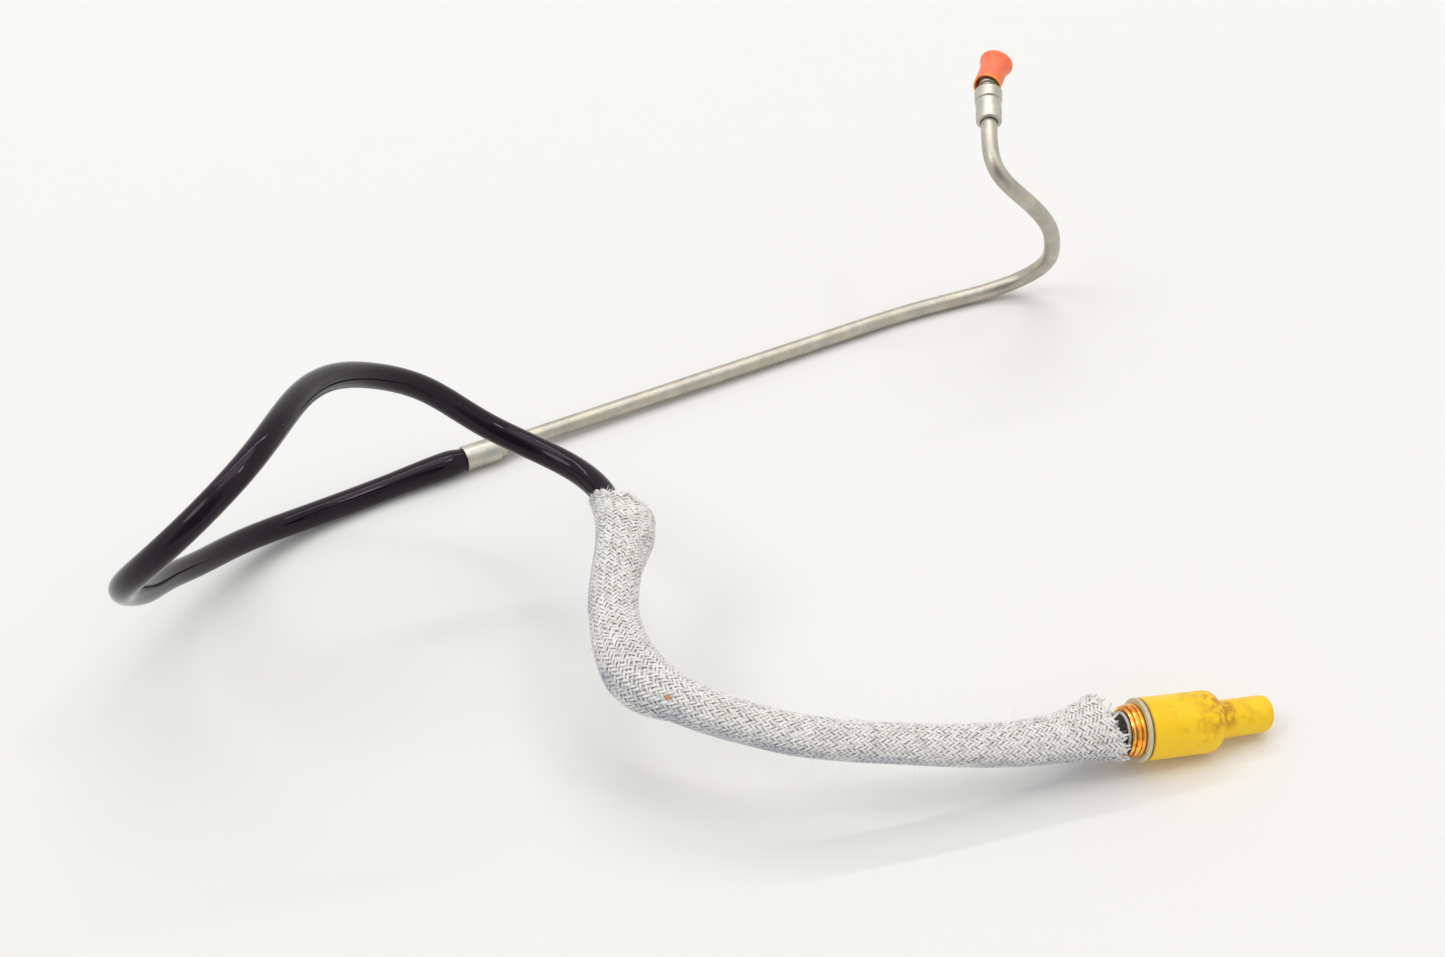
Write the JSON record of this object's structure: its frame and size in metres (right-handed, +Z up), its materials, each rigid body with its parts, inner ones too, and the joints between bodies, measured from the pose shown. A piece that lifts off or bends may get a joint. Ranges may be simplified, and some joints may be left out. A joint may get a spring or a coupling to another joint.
{
  "type": "hydraulic line",
  "caption": "Vehicle hydraulic line: bent steel pipe with a capped stub fitting, looped glossy hose, braided heat sleeve and a capped quick coupling.",
  "frame": {"origin": "centre of the bounding box's base, on the surface that the line lies on", "axes": "+Z up; +X along the longest extent, from the hose's loop to the coupling; +Y from the coupling's side to the pipe's raised end"},
  "size_m": [0.3876, 0.3045, 0.1264],
  "materials": {
    "zinc_plate": "satin zinc plate, slightly olive",
    "gold_chromate": "glossy yellow chromate on turned steel",
    "spring_steel": "bright drawn wire",
    "hose_black": "glossy black cover",
    "black_ferrule": "semi-gloss black plating",
    "seal_rubber": "matt black",
    "glass_fibre": "pale grey braided glass fibre, frayed at both ends",
    "guard_ring_grey": "pale olive grey, matt",
    "red_plastic": "soft satin plastic",
    "yellow_plastic": "soft satin plastic, stained round the shoulder"
  },
  "bodies": {
    "line": {"steel_pipe": "zinc_plate", "pipe_ferrule": "zinc_plate", "pipe_fitting": "zinc_plate", "hose": "hose_black", "heat_sleeve": "glass_fibre", "hose_ferrule": "black_ferrule", "hose_nipple": "zinc_plate", "coupling_body": "gold_chromate", "guard_ring": "guard_ring_grey", "spring_seat": "zinc_plate", "valve_spring": "spring_steel", "probe_seal": "seal_rubber"},
    "red_cap": {"red_cap": "red_plastic"},
    "yellow_cap": {"yellow_cap": "yellow_plastic"},
    "poppet": {"valve_poppet": "zinc_plate", "poppet_seal": "seal_rubber"}
  },
  "joints": [
    {"name": "red_cap_pull", "type": "slide", "parent": "line", "child": "red_cap", "axis": [0.0266, 0.9429, 0.332], "range_m": [0, 0.014]},
    {"name": "yellow_cap_pull", "type": "slide", "parent": "line", "child": "yellow_cap", "axis": [0.9444, 0.2978, -0.1392], "range_m": [0, 0.045]},
    {"name": "poppet_travel", "type": "slide", "parent": "line", "child": "poppet", "axis": [-0.9444, -0.2978, 0.1392], "range_m": [0, 0.0025], "stiffness_N_per_m": 800, "springref_m": -0.003, "deforming": ["valve_spring"]}
  ]
}
